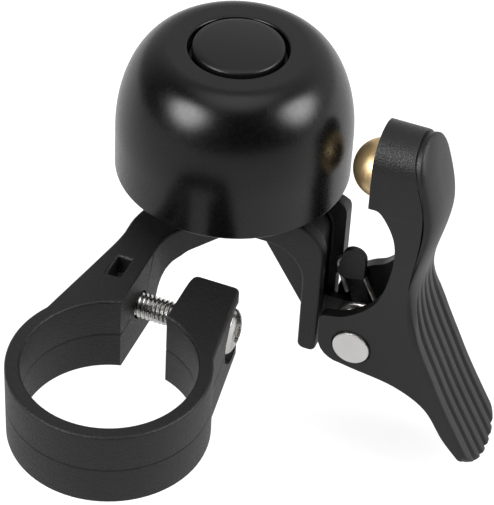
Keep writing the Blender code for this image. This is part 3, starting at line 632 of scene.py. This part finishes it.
# Return spring: the imported route drawn as a smoother steel wire of the same thickness,
# hooked behind the bracket's keeper, wound round the boss and resting on the lever's web.

spring_steel = steel("spring steel", colour=(0.85, 0.82, 0.79), roughness=(0.32, 0.46), streak=(1, 1, 1))
wire, coil, turns, hook_angle, web_angle = 0.0008, 0.0036, 3, 26.8, 53
hook_leg, hook_radius, hook_wrap, tail = 0.0116, 0.00175, 173, 0.0053
swell, swell_turns = 0.0009, 0.4
low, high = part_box("return_spring")
first, last = high[1] - wire / 2, low[1] + wire / 2
rise = Vector((-sin(radians(hook_angle)), 0, cos(radians(hook_angle))))
start = Vector((pin_x + coil * cos(radians(hook_angle)), first, pin_z + coil * sin(radians(hook_angle))))
bend = start + hook_leg * rise + hook_radius * Vector((-rise.z, 0, rise.x))
hook = arc((bend.x, bend.z), hook_radius, hook_angle + hook_wrap, hook_angle, steps=20)
route = [Vector((x, first, z)) for x, z in hook]
down = radians(hook_angle + hook_wrap)
route.insert(0, route[0] + tail * Vector((-sin(down), 0, cos(down))))
sweep, steps = 360 * turns - (web_angle - hook_angle), 32 * turns
for i in range(steps + 1):
    share = i / steps
    angle = radians(hook_angle - sweep * share)
    y = first + (last - first) * share
    radius = coil + swell * min(1, share * turns / swell_turns, (1 - share) * turns / swell_turns)
    route.append(Vector((pin_x + radius * cos(angle), y, pin_z + radius * sin(angle))))
along = Vector((sin(radians(web_angle)), 0, -cos(radians(web_angle))))
reach = (high[0] - wire / 2 - route[-1].x) / along.x
route.append(route[-1] + along * reach)
curve = bpy.data.curves.new("spring_wire", "CURVE")
curve.dimensions = "3D"
curve.bevel_depth = wire / 2
curve.bevel_resolution = 4
curve.use_fill_caps = True
curve.materials.append(spring_steel)
spline = curve.splines.new("POLY")
spline.points.add(len(route) - 1)
for point, place in zip(spline.points, route):
    point.co = (*place, 1)
drawn = bpy.data.objects.new("drawn_wire", curve)
mesh = bpy.data.meshes.new_from_object(drawn)
bpy.data.objects.remove(drawn)
mesh.shade_smooth()
spring = bpy.data.objects.new("spring_wire", mesh)
bpy.context.scene.collection.objects.link(spring)
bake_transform(spring)
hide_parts("return_spring")


# Studio: a pale floor and a surround that is white to the camera, dim behind the camera,
# with round soft lights at the left, the right and overhead that fade at their edges.

scene = bpy.context.scene
scene.view_settings.view_transform = "Standard"


def add_floor():
    """A floor that is white to the camera but for a faint shadow, that shows in reflections as a painted
    glow, faint at the front and brighter towards the back, and that is plain pale to all other light.
    """
    drop, white_glow, front, rear, front_sheen, rear_sheen = 0.004, 0.78, -0.06, 0.12, 0.15, 0.5
    bm = bmesh.new()
    bmesh.ops.create_grid(bm, x_segments=1, y_segments=1, size=1.5)
    bmesh.ops.translate(bm, verts=bm.verts, vec=(0, 0, cad_box[0][2] - drop))
    mesh = bpy.data.meshes.new("floor")
    bm.to_mesh(mesh)
    bm.free()
    floor = bpy.data.objects.new("floor", mesh)
    scene.collection.objects.link(floor)
    material = bpy.data.materials.new("studio floor")
    material.use_nodes = True
    tree = material.node_tree
    tree.nodes.clear()
    rays = tree.nodes.new("ShaderNodeLightPath")
    to_camera, in_gloss = (Value(tree, rays.outputs[f"Is {kind} Ray"]) for kind in ("Camera", "Glossy"))
    back = Value(tree, tree.nodes.new("ShaderNodeTexCoord").outputs["Object"]).part("Y")
    inputs = {0: back, 1: front, 2: rear, 3: front_sheen, 4: rear_sheen}
    sheen = back.node("ShaderNodeMapRange", inputs)
    # painted sheen: the floor glows to reflections only, more towards the back, besides its white to the
    # camera
    glow = to_camera * white_glow + in_gloss * sheen
    white = to_camera.node("ShaderNodeEmission", {"Strength": glow})
    pale = to_camera.node("ShaderNodeBsdfDiffuse", {"Color": (0.42, 0.42, 0.42, 1)})
    both = to_camera.node("ShaderNodeAddShader", {0: white, 1: pale})
    to_camera.node("ShaderNodeOutputMaterial", {"Surface": both})
    mesh.materials.append(material)


def toward(azimuth, elevation):
    """Direction from the bell to an azimuth, 0 being the side of the clamp ring, and an elevation."""
    a, e = radians(azimuth), radians(elevation)
    return (sin(a) * cos(e), -cos(a) * cos(e), sin(e))


def soft_light(sky, azimuth, elevation, reach, strength):
    """A round light in the surround that fades from its middle out to reach degrees."""
    aim = {0: sky, 1: toward(azimuth, elevation)}
    dot = sky.node("ShaderNodeVectorMath", aim, operation="DOT_PRODUCT")
    dot = Value(sky.tree, dot.socket.node.outputs["Value"])
    inputs = {0: dot, 1: cos(radians(reach)), 2: 1.0, 3: 0.0, 4: strength}
    return sky.node("ShaderNodeMapRange", inputs, interpolation_type="SMOOTHSTEP")


add_floor()
world = bpy.data.worlds.new("studio")
world.use_nodes = True
scene.world = world
tree = world.node_tree
sky = Value(tree, tree.nodes.new("ShaderNodeTexCoord").outputs["Generated"])
depth = sky.part("Y")
surround_near, surround_far = (-0.2, 0.02), (0.8, 0.6)
inputs = {0: depth, 1: surround_near[0], 2: surround_far[0], 3: surround_near[1], 4: surround_far[1]}
surround = depth.node("ShaderNodeMapRange", inputs)
left_light = soft_light(sky, azimuth=-34, elevation=30, reach=23, strength=10.5)
right_light = soft_light(sky, azimuth=96, elevation=28, reach=23, strength=9.0)
top_light = soft_light(sky, azimuth=20, elevation=84, reach=34, strength=1.2)
lights = left_light + right_light + top_light
rays = tree.nodes.new("ShaderNodeLightPath")
camera_ray = Value(tree, rays.outputs["Is Camera Ray"])
strength = camera_ray.math("MAXIMUM", surround + lights)
tree.links.new(strength.socket, tree.nodes["Background"].inputs["Strength"])
tree.nodes["Background"].inputs["Color"].default_value = (1, 1, 1, 1)


# Camera: where it stood for the photograph, in front of the ring and to its right, looking down,
# as fitted to the ring, the bell and the screw.

heading, looking_down, roll = 19.649, 41.452, 3.397
camera = bpy.data.cameras.new("camera")
camera.sensor_width = 36
camera.lens = 169.55
camera_object = bpy.data.objects.new("camera", camera)
turn = Matrix.Rotation(radians(heading), 4, "Z") @ Matrix.Rotation(radians(90 - looking_down), 4, "X")
place = Matrix.Translation((0.10116, -0.22676, 0.24825))
camera_object.matrix_world = place @ turn @ Matrix.Rotation(radians(roll), 4, "Z")
scene.collection.objects.link(camera_object)
scene.camera = camera_object
